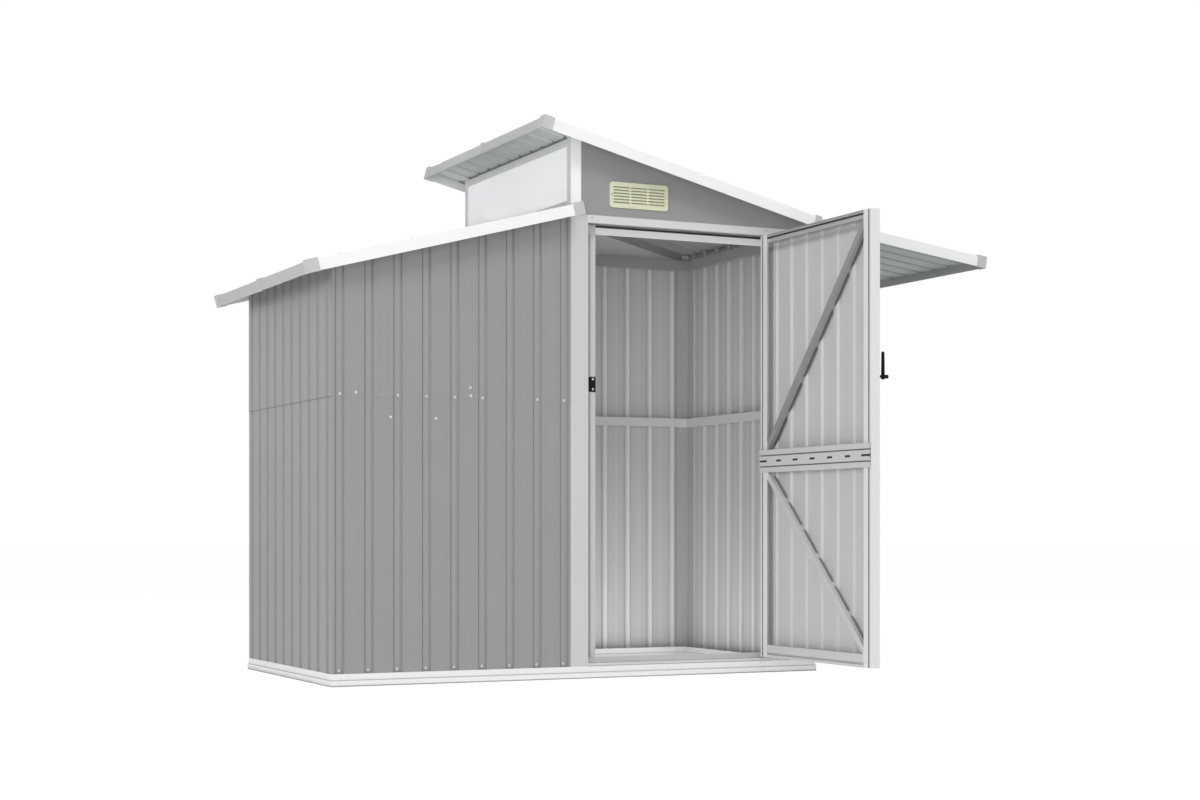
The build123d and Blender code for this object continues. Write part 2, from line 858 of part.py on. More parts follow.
with BuildPart() as door_mid_bar:
    bar_low = mid_bar_level - mid_bar_height / 2
    bar_high = mid_bar_level + mid_bar_height / 2
    bar_run = Plane(leaf.from_local_coords((leaf_near, leaf_in, 0)), x_dir=leaf.y_dir, z_dir=leaf.x_dir)
    section = [
        (0, bar_low),
        (-mid_bar_stand, bar_low),
        (-mid_bar_stand, bar_low + mid_bar_lip),
        (-frame_gauge, bar_low + mid_bar_lip),
        (-frame_gauge, bar_low + mid_bar_lip + mid_bar_groove),
        (-mid_bar_stand, bar_low + mid_bar_lip + mid_bar_groove),
        (-mid_bar_stand, bar_high - mid_bar_lip - mid_bar_groove),
        (-frame_gauge, bar_high - mid_bar_lip - mid_bar_groove),
        (-frame_gauge, bar_high - mid_bar_lip),
        (-mid_bar_stand, bar_high - mid_bar_lip),
        (-mid_bar_stand, bar_high),
        (0, bar_high),
    ]
    strip(bar_run, section, -frame_gauge, door_width)
    slot_face = Plane(
        leaf.from_local_coords((leaf_near + door_width / 2, leaf_in, mid_bar_level)),
        x_dir=leaf.x_dir,
        z_dir=-leaf.y_dir,
    )
    slot_span = door_width - stile_width
    with BuildSketch(slot_face) as slots:
        with GridLocations(slot_span / (mid_bar_slots - 1), 0, mid_bar_slots - 2, 1):
            SlotOverall(slot_length, slot_height)
        with GridLocations(slot_span, 0, 2, 1):
            SlotOverall(end_slot_length, slot_height)
    extrude(slots.sketch, amount=overrun, both=True, mode=Mode.SUBTRACT)
save("door_mid_bar", door_mid_bar)


def brace(start_level, end_level):
    """Adds an angle brace from the hinge side to the free corner, its flange standing on the ribs."""
    near = frame_near - brace_lap
    far = frame_far + brace_lap
    rise = end_level - start_level
    turn = 1 if rise > 0 else -1
    slope = atan2(abs(rise), far - near)
    along = brace_width / 2 / sin(slope)
    up = turn * brace_width / 2 / cos(slope)
    web = [
        (near, start_level),
        (near + along, start_level),
        (far, end_level - up),
        (far, end_level),
        (far - along, end_level),
        (near, start_level + up),
    ]
    flange = [
        (near + along, start_level),
        (far, end_level - up),
        (far, end_level - up + turn * brace_gauge / cos(slope)),
        (near + along - brace_gauge / sin(slope), start_level),
    ]
    face = Plane(
        leaf.from_local_coords((0, leaf_in + frame_gauge, 0)),
        x_dir=leaf.x_dir,
        z_dir=leaf.y_dir,
    )
    for outline, depth in ((web, brace_gauge), (flange, door_thickness - frame_gauge - panel_crest)):
        with BuildSketch(face) as flat:
            with BuildLine():
                Polyline(*[(across, level * face.y_dir.Z) for across, level in outline], close=True)
            make_face()
        extrude(flat.sketch, amount=depth)


with BuildPart() as door_braces:
    brace(mid_bar_level + mid_bar_height / 2, door_top - top_door_rail)
    brace(mid_bar_level - mid_bar_height / 2, door_bottom + low_door_rail)
save("door_braces", door_braces)

# Hinges: plates on the outside faces, knuckles on the axis, a pin through each
hinge_span = door_height - 2 * hinge_end
hinge_levels = [door_bottom + hinge_end + hinge_span * n / (hinge_count - 1) for n in range(hinge_count)]
knuckle_height = hinge_height / knuckle_count
plate_start = knuckle_radius + knuckle_gap
plate_outer = hinge_gauge - hinge_stand
frame_axis = Plane(hinge_axis, x_dir=(1, 0, 0), z_dir=(0, 0, 1))

with BuildPart() as frame_hinges:
    for level in hinge_levels:
        base = frame_axis.offset(level - hinge_height / 2)
        low, high = hinge_stand - hinge_gauge, hinge_stand
        block(base, (plate_start, low), (hinge_plate, high), hinge_height)
        for rise in (0, 2 * knuckle_height):
            with BuildSketch(base.offset(rise)) as barrel:
                Circle(knuckle_radius)
                with Locations((plate_start / 2, (low + high) / 2)):
                    Rectangle(plate_start, hinge_gauge)
            extrude(barrel.sketch, amount=knuckle_height)
        with BuildSketch(base) as pin:
            Circle(pin_radius)
        extrude(pin.sketch, amount=hinge_height)
save("frame_hinges", frame_hinges)

with BuildPart() as door_hinges:
    for level in hinge_levels:
        base = leaf.offset(level - hinge_height / 2)
        block(base, (plate_start, leaf_out), (hinge_plate, plate_outer), hinge_height)
        barrel_base = base.offset(knuckle_height + knuckle_gap)
        with BuildSketch(barrel_base) as barrel:
            Circle(knuckle_radius)
            with Locations((plate_start / 2, (leaf_out + plate_outer) / 2)):
                Rectangle(plate_start, hinge_gauge)
            Circle(pin_radius + running_gap, mode=Mode.SUBTRACT)
        extrude(barrel.sketch, amount=knuckle_height - 2 * knuckle_gap)
save("door_hinges", door_hinges)

# Handle: a rose on the leaf, and a lever that turns on its spindle
handle_place = leaf.from_local_coords((leaf_far - handle_inset, leaf_out, handle_level))
handle_plane = Plane(handle_place, x_dir=-leaf.x_dir, z_dir=leaf.y_dir)

with BuildPart() as handle_rose:
    with BuildSketch(handle_plane) as ring:
        Circle(rose_radius)
        Circle(spindle_radius + running_gap, mode=Mode.SUBTRACT)
    extrude(ring.sketch, amount=rose_height)
    fillet(handle_rose.edges().group_by(Axis(handle_plane.origin, handle_plane.z_dir))[-1], rose_round)
save("handle_rose", handle_rose)

with BuildPart() as door_handle:
    with BuildSketch(handle_plane.offset(knuckle_gap)) as spindle:
        Circle(spindle_radius)
    extrude(spindle.sketch, amount=lever_stand)
    with BuildSketch(handle_plane.offset(lever_stand - lever_gauge / 2)) as lever:
        with BuildLine():
            low_left = (-lever_width / 2, -lever_down + lever_width / 2)
            low_right = (lever_width / 2, -lever_down + lever_width / 2)
            high_right = (lever_tip_width / 2, lever_up - lever_tip_width / 2)
            high_left = (-lever_tip_width / 2, lever_up - lever_tip_width / 2)
            Line(low_right, high_right)
            ThreePointArc(high_right, (0, lever_up), high_left)
            Line(high_left, low_left)
            ThreePointArc(low_left, (0, -lever_down), low_right)
        make_face()
    extrude(lever.sketch, amount=lever_gauge)
    with BuildSketch(handle_plane.offset(lever_stand)) as knob:
        Circle(knob_radius)
    extrude(knob.sketch, amount=knob_length)
save("door_handle", door_handle)
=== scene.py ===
import math

import bpy
import numpy as np
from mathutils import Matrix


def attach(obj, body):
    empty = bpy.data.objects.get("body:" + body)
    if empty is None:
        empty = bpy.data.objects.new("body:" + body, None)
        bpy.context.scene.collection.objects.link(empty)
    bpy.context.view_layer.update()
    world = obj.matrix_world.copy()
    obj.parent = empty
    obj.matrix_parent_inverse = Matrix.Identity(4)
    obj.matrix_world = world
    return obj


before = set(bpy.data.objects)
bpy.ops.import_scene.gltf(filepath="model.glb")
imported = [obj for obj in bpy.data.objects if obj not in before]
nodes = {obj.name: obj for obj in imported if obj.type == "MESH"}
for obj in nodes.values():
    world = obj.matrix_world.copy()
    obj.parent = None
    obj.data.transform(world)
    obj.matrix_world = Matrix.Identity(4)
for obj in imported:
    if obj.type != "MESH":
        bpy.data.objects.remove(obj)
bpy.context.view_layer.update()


# Base track. Four folded channels of galvanised strip lie on the ground, mitred
# at the corners, and take the feet of the wall sheets. They are coated white, with
# painted shade along a fold and at the foot, and collect a little dust from the ground
# they lie on.
def wire(tree, kind, sockets=None, **settings):
    """Adds one shader node; a socket given a value is set, and one given an output is linked."""
    made = tree.nodes.new(kind)
    for name, value in settings.items():
        setattr(made, name, value)
    for key, value in (sockets or {}).items():
        if isinstance(value, bpy.types.NodeSocket):
            tree.links.new(value, made.inputs[key])
        else:
            made.inputs[key].default_value = value
    return made


def new_group(name, inputs, outputs):
    """An empty shader group with float inputs at their usual values and float outputs."""
    tree = bpy.data.node_groups.new(name, "ShaderNodeTree")
    for label, usual in inputs.items():
        socket = tree.interface.new_socket(label, in_out="INPUT", socket_type="NodeSocketFloat")
        socket.default_value = usual
    for label in outputs:
        tree.interface.new_socket(label, in_out="OUTPUT", socket_type="NodeSocketFloat")
    return tree, tree.nodes.new("NodeGroupInput"), tree.nodes.new("NodeGroupOutput")


def make_coat_skin():
    """Sprayed coat: a fine pebbled height, a broad drift of tone about one, and one of gloss about zero."""
    tree, given, result = new_group(
        "coat_skin",
        {"Pebbles per metre": 420.0, "Drift per metre": 2.2, "Tone": 0.05, "Gloss": 0.08},
        ("Height", "Tone", "Gloss"),
    )
    place = wire(tree, "ShaderNodeTexCoord").outputs["Object"]
    pebbles = wire(tree, "ShaderNodeTexNoise", {
        "Vector": place, "Scale": given.outputs["Pebbles per metre"], "Detail": 1.0, "Roughness": 0.4,
    })
    drift = wire(tree, "ShaderNodeTexNoise", {
        "Vector": place, "Scale": given.outputs["Drift per metre"], "Detail": 4.0, "Roughness": 0.6,
    })
    centred = wire(tree, "ShaderNodeMath", {0: drift.outputs["Fac"], 1: 0.5}, operation="SUBTRACT")
    tone = wire(
        tree, "ShaderNodeMath",
        {0: centred.outputs[0], 1: given.outputs["Tone"], 2: 1.0}, operation="MULTIPLY_ADD",
    )
    gloss = wire(
        tree, "ShaderNodeMath",
        {0: centred.outputs[0], 1: given.outputs["Gloss"]}, operation="MULTIPLY",
    )
    tree.links.new(pebbles.outputs["Fac"], result.inputs["Height"])
    tree.links.new(tone.outputs[0], result.inputs["Tone"])
    tree.links.new(gloss.outputs[0], result.inputs["Gloss"])
    return tree


def make_ground_dust():
    """Dust that fades upward from the ground: a mask that falls with height, broken by noise."""
    tree, given, result = new_group("ground_dust", {"Height": 0.25, "Amount": 0.25}, ("Mask",))
    place = wire(tree, "ShaderNodeTexCoord").outputs["Object"]
    level = wire(tree, "ShaderNodeSeparateXYZ", {"Vector": place}).outputs["Z"]
    fall = wire(tree, "ShaderNodeMapRange", {
        "Value": level, "From Min": 0.0, "From Max": given.outputs["Height"], "To Min": 1.0, "To Max": 0.0,
    }, interpolation_type="SMOOTHSTEP")
    specks = wire(tree, "ShaderNodeTexNoise", {
        "Vector": place, "Scale": 60.0, "Detail": 6.0, "Roughness": 0.7,
    })
    broken = wire(tree, "ShaderNodeMapRange", {
        "Value": specks.outputs["Fac"], "From Min": 0.35, "From Max": 0.7,
    })
    mask = wire(
        tree, "ShaderNodeMath",
        {0: fall.outputs["Result"], 1: broken.outputs["Result"]}, operation="MULTIPLY",
    )
    scaled = wire(
        tree, "ShaderNodeMath", {0: mask.outputs[0], 1: given.outputs["Amount"]}, operation="MULTIPLY",
    )
    tree.links.new(scaled.outputs[0], result.inputs["Mask"])
    return tree


coat_skin = make_coat_skin()
ground_dust = make_ground_dust()
dust_colour = (0.34, 0.31, 0.27, 1.0)


def use_group(tree, group, **values):
    """Places a shared group in a material with its own values; underscores stand for spaces."""
    made = tree.nodes.new("ShaderNodeGroup")
    made.node_tree = group
    for label, value in values.items():
        made.inputs[label.replace("_", " ")].default_value = value
    return made


def new_material(name):
    """An empty node material with its Principled shader."""
    material = bpy.data.materials.new(name)
    material.use_nodes = True
    return material, material.node_tree, material.node_tree.nodes["Principled BSDF"]


def coated(name, colour, roughness, tone=0.05, pebbles=420.0, peel=0.00006, dust=0.12, dust_height=0.2):
    """Powder coat: the colour times a drifting tone, under dust near the ground, with a pebbled bump."""
    material, tree, shader = new_material(name)
    skin = use_group(tree, coat_skin, Pebbles_per_metre=pebbles, Tone=tone)
    settled = use_group(tree, ground_dust, Height=dust_height, Amount=dust)
    shade = wire(tree, "ShaderNodeMix", {
        "Factor": 1.0, "A": (*colour, 1.0), "B": skin.outputs["Tone"],
    }, name="coat", data_type="RGBA", blend_type="MULTIPLY")
    dusty = wire(tree, "ShaderNodeMix", {
        "Factor": settled.outputs["Mask"], "A": shade.outputs["Result"], "B": dust_colour,
    }, data_type="RGBA")
    rough = wire(tree, "ShaderNodeMath", {0: skin.outputs["Gloss"], 1: roughness}, operation="ADD")
    bump = wire(tree, "ShaderNodeBump", {
        "Height": skin.outputs["Height"], "Strength": 0.35, "Distance": peel,
    })
    tree.links.new(dusty.outputs["Result"], shader.inputs["Base Color"])
    tree.links.new(rough.outputs[0], shader.inputs["Roughness"])
    tree.links.new(bump.outputs["Normal"], shader.inputs["Normal"])
    return material


def dress(material, *names):
    """Gives CAD nodes a finish through their material slots."""
    for name in names:
        mesh = nodes[name].data
        mesh.materials.clear()
        mesh.materials.append(material)


def make_level_line():
    """A level line: one at a height and falling softly to zero at a half width from it."""
    tree, given, result = new_group("level_line", {"Level": 0.0, "Half width": 0.002}, ("Mask",))
    place = wire(tree, "ShaderNodeTexCoord").outputs["Object"]
    level = wire(tree, "ShaderNodeSeparateXYZ", {"Vector": place}).outputs["Z"]
    offset = wire(tree, "ShaderNodeMath", {0: level, 1: given.outputs["Level"]}, operation="SUBTRACT")
    away = wire(tree, "ShaderNodeMath", {0: offset.outputs[0]}, operation="ABSOLUTE")
    mask = wire(tree, "ShaderNodeMapRange", {
        "Value": away.outputs[0], "From Min": 0.0, "From Max": given.outputs["Half width"],
        "To Min": 1.0, "To Max": 0.0,
    }, interpolation_type="SMOOTHSTEP")
    tree.links.new(mask.outputs["Result"], result.inputs["Mask"])
    return tree


level_line = make_level_line()


def paint_shade_line(material, level, half_width, depth):
    """Paints shade into a coat along one level: a dark line standing in for the shade in a fold, seam,
    groove or gap.
    """
    tree = material.node_tree
    coat = tree.nodes["coat"]
    line = use_group(tree, level_line, Level=level, Half_width=half_width)
    kept = wire(
        tree, "ShaderNodeMath", {0: line.outputs["Mask"], 1: -depth, 2: 1.0}, operation="MULTIPLY_ADD",
    )
    drift = coat.inputs["B"].links[0].from_socket
    both = wire(tree, "ShaderNodeMath", {0: drift, 1: kept.outputs[0]}, operation="MULTIPLY")
    tree.links.new(both.outputs[0], coat.inputs["B"])


track_coat = coated("track_coat", (0.88, 0.89, 0.89), 0.42, tone=0.03)
# Painted shade: a dark line along the fold at 22 mm and a darker one at the foot, where the track meets the
# ground.
paint_shade_line(track_coat, level=0.0220, half_width=0.0030, depth=0.45)
paint_shade_line(track_coat, level=0.0, half_width=0.0060, depth=0.85)
dress(track_coat, "base_rail_front", "base_rail_back", "base_rail_left", "base_rail_right")

# Frame. Angles and channels folded from galvanised strip stand in the corners, run round
# the walls at half height and at the top, and carry the roofs. They are screwed to the
# sheets from outside and coated in paler greys than the walls.
# One strip in three coats: the top rails and rafters painted darker as shade under the roof, and the mid
# rails painted paler as lit.
frame_coat = coated("frame_coat", (0.52, 0.525, 0.52), 0.4)
dress(frame_coat, "corner_posts")
rafter_coat = coated("rafter_coat", (0.42, 0.425, 0.42), 0.4)
dress(rafter_coat, "back_top_rail", "side_top_rails", "low_rafters", "high_rafters")
rail_coat = coated("rail_coat", (0.79, 0.795, 0.79), 0.4)
dress(rail_coat, "long_mid_rails", "side_mid_rails")


# Wall sheets. Roll-formed steel with shallow grooves stands in the track, the upper
# sheets lapped over the lower at a seam. The outer face is coated mid grey, and the
# inner face has the thinner and paler backing coat of such sheets.
def make_inner_face():
    """Inner side of a sheet: one where the normal points back to the middle along the weighted axes."""
    tree, given, result = new_group("inner_face", {"X": 0.0, "Y": 0.0, "Z": 0.0}, ("Mask",))
    read = wire(tree, "ShaderNodeTexCoord")
    outward = wire(
        tree, "ShaderNodeVectorMath",
        {0: read.outputs["Normal"], 1: read.outputs["Object"]}, operation="MULTIPLY",
    )
    axes = wire(tree, "ShaderNodeCombineXYZ", {key: given.outputs[key] for key in ("X", "Y", "Z")})
    turned_out = wire(
        tree, "ShaderNodeVectorMath",
        {0: outward.outputs["Vector"], 1: axes.outputs["Vector"]}, operation="DOT_PRODUCT",
    )
    inside = wire(tree, "ShaderNodeMath", {0: turned_out.outputs["Value"], 1: 0.0}, operation="LESS_THAN")
    tree.links.new(inside.outputs[0], result.inputs["Mask"])
    return tree


inner_face = make_inner_face()


def tint(material, colour, group, **values):
    """Gives a coated piece a second colour where a group's mask is one."""
    tree = material.node_tree
    first = tree.nodes["coat"].inputs["A"]
    under = first.links[0].from_socket if first.is_linked else tuple(first.default_value)
    mask = use_group(tree, group, **values)
    two_tone = wire(tree, "ShaderNodeMix", {
        "Factor": mask.outputs["Mask"], "A": under, "B": (*colour, 1.0),
    }, data_type="RGBA")
    tree.links.new(two_tone.outputs["Result"], first)


half_mouth = 0.0155


def make_rib_marks():
    """Marks that follow the ribs: the distance to the nearest rib centre, the pitch repeated from a start,
    gives a line at each corner of the groove, a band along the crest and a soft one along the middle of
    the pan. Past the divide the ribs start again from a second place."""
    tree, given, result = new_group(
        "rib_marks",
        {"X": 0.0, "Y": 0.0, "Pitch": 0.1, "Start": 0.0, "Divide": 9.0, "Second start": 0.0},
        ("Corner", "Crest", "Pan"),
    )
    place = wire(tree, "ShaderNodeTexCoord").outputs["Object"]
    axes = wire(tree, "ShaderNodeCombineXYZ", {"X": given.outputs["X"], "Y": given.outputs["Y"]})
    along = wire(
        tree, "ShaderNodeVectorMath", {0: place, 1: axes.outputs["Vector"]}, operation="DOT_PRODUCT",
    ).outputs["Value"]
    past = wire(tree, "ShaderNodeMath", {0: along, 1: given.outputs["Divide"]}, operation="GREATER_THAN")
    start = wire(tree, "ShaderNodeMix", {
        "Factor": past.outputs[0], "A": given.outputs["Start"], "B": given.outputs["Second start"],
    })
    offset = wire(tree, "ShaderNodeMath", {0: along, 1: start.outputs["Result"]}, operation="SUBTRACT")
    pitches = wire(
        tree, "ShaderNodeMath", {0: offset.outputs[0], 1: given.outputs["Pitch"]}, operation="DIVIDE",
    )
    shifted = wire(tree, "ShaderNodeMath", {0: pitches.outputs[0], 1: 0.5}, operation="ADD")
    part = wire(tree, "ShaderNodeMath", {0: shifted.outputs[0]}, operation="FRACT")
    signed = wire(tree, "ShaderNodeMath", {0: part.outputs[0], 1: 0.5}, operation="SUBTRACT")
    share = wire(tree, "ShaderNodeMath", {0: signed.outputs[0]}, operation="ABSOLUTE")
    away = wire(
        tree, "ShaderNodeMath", {0: share.outputs[0], 1: given.outputs["Pitch"]}, operation="MULTIPLY",
    )
    from_corner = wire(tree, "ShaderNodeMath", {0: away.outputs[0], 1: half_mouth}, operation="SUBTRACT")
    near_corner = wire(tree, "ShaderNodeMath", {0: from_corner.outputs[0]}, operation="ABSOLUTE")
    corner = wire(tree, "ShaderNodeMapRange", {
        "Value": near_corner.outputs[0], "From Min": 0.0005, "From Max": 0.004,
        "To Min": 1.0, "To Max": 0.0,
    }, interpolation_type="SMOOTHSTEP")
    crest = wire(tree, "ShaderNodeMapRange", {
        "Value": away.outputs[0], "From Min": 0.004, "From Max": 0.013, "To Min": 1.0, "To Max": 0.0,
    }, interpolation_type="SMOOTHSTEP")
    pan = wire(tree, "ShaderNodeMapRange", {
        "Value": share.outputs[0], "From Min": 0.34, "From Max": 0.48,
    }, interpolation_type="SMOOTHSTEP")
    tree.links.new(corner.outputs["Result"], result.inputs["Corner"])
    tree.links.new(crest.outputs["Result"], result.inputs["Crest"])
    tree.links.new(pan.outputs["Result"], result.inputs["Pan"])
    return tree


rib_marks = make_rib_marks()
# Painted shade in the groove corners, and painted highlights on the groove floors and the middles of the
# pans:
inner_shade_depth = 0.16
pan_share = 0.18
outer_highlight = 0.13
inner_highlight = 0.34


def paint_rib_shade_and_highlights(material, shade_depth, inside, **ribs):
    """Paints shade into the corners of the grooves and painted highlights along the groove floors and the
    middles of the pans, stronger inside, where the floors stand out."""
    tree = material.node_tree
    coat = tree.nodes["coat"]
    marks = use_group(tree, rib_marks, **ribs)
    inner = use_group(tree, inner_face, **inside)
    depth = wire(tree, "ShaderNodeMapRange", {
        "Value": inner.outputs["Mask"], "To Min": -shade_depth, "To Max": -inner_shade_depth,
    })
    darker = wire(
        tree, "ShaderNodeMath", {0: marks.outputs["Corner"], 1: depth.outputs["Result"], 2: 1.0},
        operation="MULTIPLY_ADD",
    )
    pale = wire(
        tree, "ShaderNodeMath", {0: marks.outputs["Pan"], 1: pan_share, 2: marks.outputs["Crest"]},
        operation="MULTIPLY_ADD",
    )
    highlight_share = wire(tree, "ShaderNodeMapRange", {
        "Value": inner.outputs["Mask"], "To Min": outer_highlight, "To Max": inner_highlight,
    })
    paler = wire(
        tree, "ShaderNodeMath",
        {0: pale.outputs[0], 1: highlight_share.outputs["Result"], 2: darker.outputs[0]}, operation="MULTIPLY_ADD",
    )
    drift = coat.inputs["B"].links[0].from_socket
    both = wire(tree, "ShaderNodeMath", {0: drift, 1: paler.outputs[0]}, operation="MULTIPLY")
    tree.links.new(both.outputs[0], coat.inputs["B"])


wall_grey = (0.300, 0.306, 0.302)
backing_grey = (0.63, 0.635, 0.63)
bay_pitch = 0.1097
side_pitch = 0.106


def wall_coat(name, inside, shade_depth, **ribs):
    """Grey coat outside, backing coat inside, and the painted shade and highlights that follow this wall's
    ribs.
    """
    material = coated(name, wall_grey, 0.45, tone=0.06)
    tint(material, backing_grey, inner_face, **inside)
    paint_rib_shade_and_highlights(material, shade_depth, inside, **ribs)
    return material


front_coat = wall_coat("front_coat", {"Y": 1.0}, 0.28, X=1.0, Pitch=bay_pitch, Start=-0.97305)
dress(front_coat, "front_wall_lower", "front_wall_upper")
strip_coat = wall_coat("strip_coat", {"Y": 1.0}, 0.28, X=1.0, Pitch=bay_pitch, Start=0.93375)
dress(strip_coat, "front_strip")
back_coat = wall_coat(
    "back_coat", {"Y": 1.0}, 0.20,
    X=1.0, Pitch=bay_pitch, Start=-0.09545, Divide=-0.03, Second_start=0.91355,
)
dress(back_coat, "back_wall_lower", "back_wall_upper")
side_coat = wall_coat("side_coat", {"X": 1.0}, 0.20, Y=1.0, Pitch=side_pitch, Start=-0.477)
# Painted shadow: a dark line under the lap of the seam.
paint_shade_line(side_coat, level=1.0320, half_width=0.0045, depth=0.40)
dress(side_coat, "left_wall_lower", "left_wall_upper", "right_wall_lower", "right_wall_upper")
gable_coat = coated("gable_coat", wall_grey, 0.45, tone=0.06)
tint(gable_coat, (0.86, 0.865, 0.87), inner_face, Y=1.0)
dress(gable_coat, "front_gable", "back_gable")


# Wall screws. Self-drilling screws with pan heads and washers hold the sheets to the
# track, one in each groove, and to each other along the seam. On the front they are
# whitish zinc, and on the other walls the heads are capped in the wall's grey.
def closed_skins(name, rings, finish, body):
    """One mesh of closed skins from an array (copies, rings, points round, xyz): quads and end caps."""
    copies, rows, around, _ = rings.shape
    index = np.arange(copies * rows * around).reshape(copies, rows, around)
    beside = np.roll(index, -1, axis=2)
    quads = np.stack([index[:, :-1], beside[:, :-1], beside[:, 1:], index[:, 1:]], axis=-1).reshape(-1, 4)
    feet = index[:, 0, ::-1].reshape(-1, around)
    tops = index[:, -1].reshape(-1, around)
    mesh = bpy.data.meshes.new(name)
    mesh.from_pydata(rings.reshape(-1, 3).tolist(), [], quads.tolist() + feet.tolist() + tops.tolist())
    mesh.materials.append(finish)
    piece = bpy.data.objects.new(name, mesh)
    bpy.context.scene.collection.objects.link(piece)
    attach(piece, body)


head_shares = np.array([1.0, 1.0, 0.66, 0.62, 0.36])
head_heights = np.array([-0.0006, 0.0008, 0.0013, 0.0030, 0.0040])


def screw_heads(places, facing, radius, rise=1.0):
    """Pan heads on washers: radius shares and heights, times a rise, turned round each screw's axis."""
    places = np.asarray(places, dtype=float)
    axis = np.broadcast_to(np.asarray(facing, dtype=float), places.shape)
    guide = np.where(np.abs(axis[:, 2:]) > 0.9, (1.0, 0.0, 0.0), (0.0, 0.0, 1.0))
    across = np.cross(guide, axis)
    across /= np.linalg.norm(across, axis=1, keepdims=True)
    along = np.cross(axis, across)
    turn = np.linspace(0.0, 2.0 * math.pi, 8, endpoint=False)[None, :, None]
    ring = np.cos(turn) * across[:, None] + np.sin(turn) * along[:, None]
    spread = radius * head_shares[None, :, None, None] * ring[:, None]
    lift = rise * head_heights[None, :, None, None] * axis[:, None, None]
    return places[:, None, None] + spread + lift


def along_x(steps, y, z):
    """A row of points at one depth and level, as an array."""
    return np.stack([steps, np.full_like(steps, y), np.full_like(steps, z)], axis=1)


def along_y(steps, x, z):
    """A row of points down one side at one level, as an array."""
    return np.stack([np.full_like(steps, x), steps, np.full_like(steps, z)], axis=1)


wall_length = 2.010
wall_depth = 1.066
wall_corner = np.array([-wall_length / 2, -wall_depth / 2, 0.0])
lower_groove = 0.0125
upper_groove = 0.0113
lower_pan = 0.0045
upper_pan = 0.0033
foot_level = 0.0570
seam_level = 1.0420
bay_steps = bay_pitch * np.arange(9)
front_grooves = 0.03195 + bay_steps
strip_groove = np.array([1.93875])
back_grooves = np.concatenate([0.09145 + bay_steps, 1.10045 + bay_steps])
side_grooves = 0.056 + side_pitch * np.arange(10)
seam_drift = 0.0035
seam_grooves = front_grooves[[0, 2, 3, 4, 5, 7, 8]] + seam_drift
wall_head = 0.0052
spare_screws = np.array([
    (0.0928, upper_pan, 1.0483), (0.5325, upper_pan, 1.0777), (0.5341, upper_pan, 1.0477),
    (0.2248, lower_pan, 0.9628), (0.3981, lower_pan, 0.9625),
])

zinc_white = coated("zinc_white", (0.74, 0.75, 0.75), 0.3, tone=0.05, pebbles=900.0, dust=0.0)
grey_head = coated("grey_head", (0.36, 0.365, 0.36), 0.35, tone=0.05, pebbles=900.0, dust=0.05)
front_rows = np.concatenate([
    along_x(front_grooves, lower_groove, foot_level),
    along_x(strip_groove, lower_groove, foot_level),
    along_x(seam_grooves, upper_groove, seam_level),
    spare_screws,
])
closed_skins(
    "front_screws", screw_heads(wall_corner + front_rows, (0.0, -1.0, 0.0), wall_head),
    zinc_white, "shed",
)
left_rows = np.concatenate([
    along_y(side_grooves, lower_groove, foot_level), along_y(side_grooves, upper_groove, seam_level),
])
closed_skins(
    "left_screws", screw_heads(wall_corner + left_rows, (-1.0, 0.0, 0.0), wall_head),
    grey_head, "shed",
)
right_rows = left_rows * (-1.0, 1.0, 1.0) + (wall_length, 0.0, 0.0)
closed_skins(
    "right_screws", screw_heads(wall_corner + right_rows, (1.0, 0.0, 0.0), wall_head),
    grey_head, "shed",
)
back_rows = np.concatenate([
    along_x(wall_length - back_grooves, wall_depth - lower_groove, foot_level),
    along_x(wall_length - back_grooves, wall_depth - upper_groove, seam_level),
])
closed_skins(
    "back_screws", screw_heads(wall_corner + back_rows, (0.0, 1.0, 0.0), wall_head),
    grey_head, "shed",
)


# Columns. Folded light grey channels part the bays and frame the doorway. Each is in
# two lengths, the upper sleeved over the lower, so its front shows a fine lip.
column_coat = coated("column_coat", (0.61, 0.615, 0.625), 0.42, tone=0.03)
dress(column_coat, "front_columns", "back_column")


def bar_skins(starts, ends, section):
    """Bars: a closed section, given as offsets (round, xyz), carried from each start to its end."""
    path = np.stack([starts, ends], axis=1)
    return path[:, :, None] + section[None, None]


lip_level = 0.9580
lip_length = 0.0700
lip_section = np.array([
    (0.0, 0.0002, 0.0014), (0.0, -0.0007, 0.0009), (0.0, -0.0008, -0.0005),
    (0.0, -0.0007, -0.0009), (0.0, 0.0002, -0.0009),
])
lip_starts = wall_corner + np.array([(0.9375, lower_pan, lip_level), (1.8015, lower_pan, lip_level)])
closed_skins(
    "column_lips", bar_skins(lip_starts, lip_starts + (lip_length, 0.0, 0.0), lip_section),
    column_coat, "shed",
)


# Doorway. Header, jambs and sill are folded from the columns' light grey strip and
# screwed to them, with painted shade along the header's gap and the sill's fold, and the
# header's stop painted paler against its shade. A black strip under the header and a grey
# one on the latch jamb stand in for the shade where the leaf closes. A black moulded
# strike plate is screwed to the latch side for the handle.
def make_short_of():
    """Short of a line: one where the place's part along the given axis is less than the line's."""
    tree, given, result = new_group("short_of", {"X": 0.0, "Y": 0.0, "Z": 0.0, "Line": 0.0}, ("Mask",))
    place = wire(tree, "ShaderNodeTexCoord").outputs["Object"]
    axis = wire(tree, "ShaderNodeCombineXYZ", {key: given.outputs[key] for key in ("X", "Y", "Z")})
    along = wire(
        tree, "ShaderNodeVectorMath", {0: place, 1: axis.outputs["Vector"]}, operation="DOT_PRODUCT",
    )
    short = wire(
        tree, "ShaderNodeMath",
        {0: along.outputs["Value"], 1: given.outputs["Line"]}, operation="LESS_THAN",
    )
    tree.links.new(short.outputs[0], result.inputs["Mask"])
    return tree


